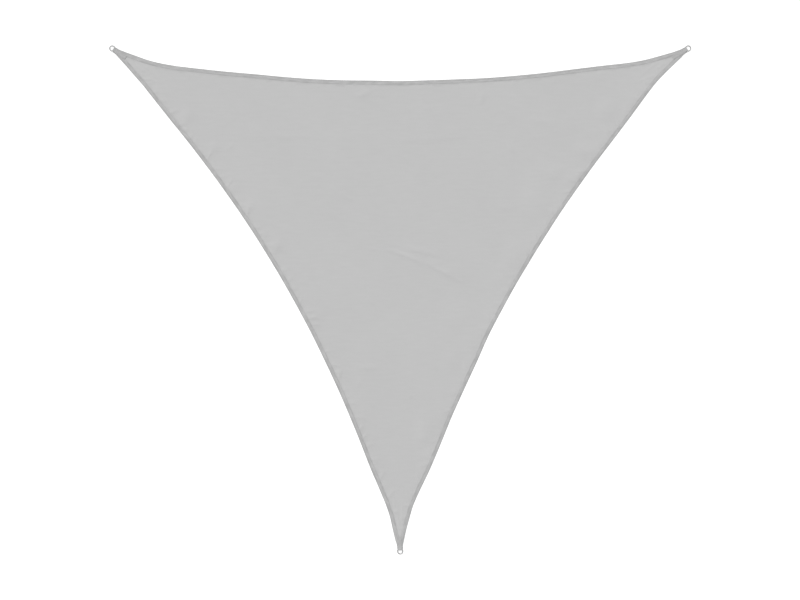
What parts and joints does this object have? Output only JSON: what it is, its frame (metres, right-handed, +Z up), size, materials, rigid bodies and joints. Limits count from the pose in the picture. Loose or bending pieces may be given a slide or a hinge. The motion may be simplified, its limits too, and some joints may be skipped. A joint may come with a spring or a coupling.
{
  "type": "shade sail",
  "caption": "Triangular knitted shade sail with hollow-cut hemmed edges, lying flat, with a webbing strap and a steel ring at each pulled-out corner.",
  "frame": {"origin": "on the ground under the middle of the whole sail's length and width", "axes": "+X along the straight line from the left ring to the right one, +Y from the bottom ring towards that line, +Z up from the ground"},
  "size_m": [3.6368, 3.1809, 0.0096],
  "materials": {
    "shade_cloth": "matt knitted polyethylene, light grey",
    "webbing": "matt woven webbing, grey",
    "steel": "satin stainless wire"
  },
  "bodies": {
    "root": {"sail_cloth": "shade_cloth", "strap_left": "webbing", "strap_right": "webbing", "strap_bottom": "webbing", "ring_left": "steel", "ring_right": "steel", "ring_bottom": "steel"}
  },
  "joints": []
}
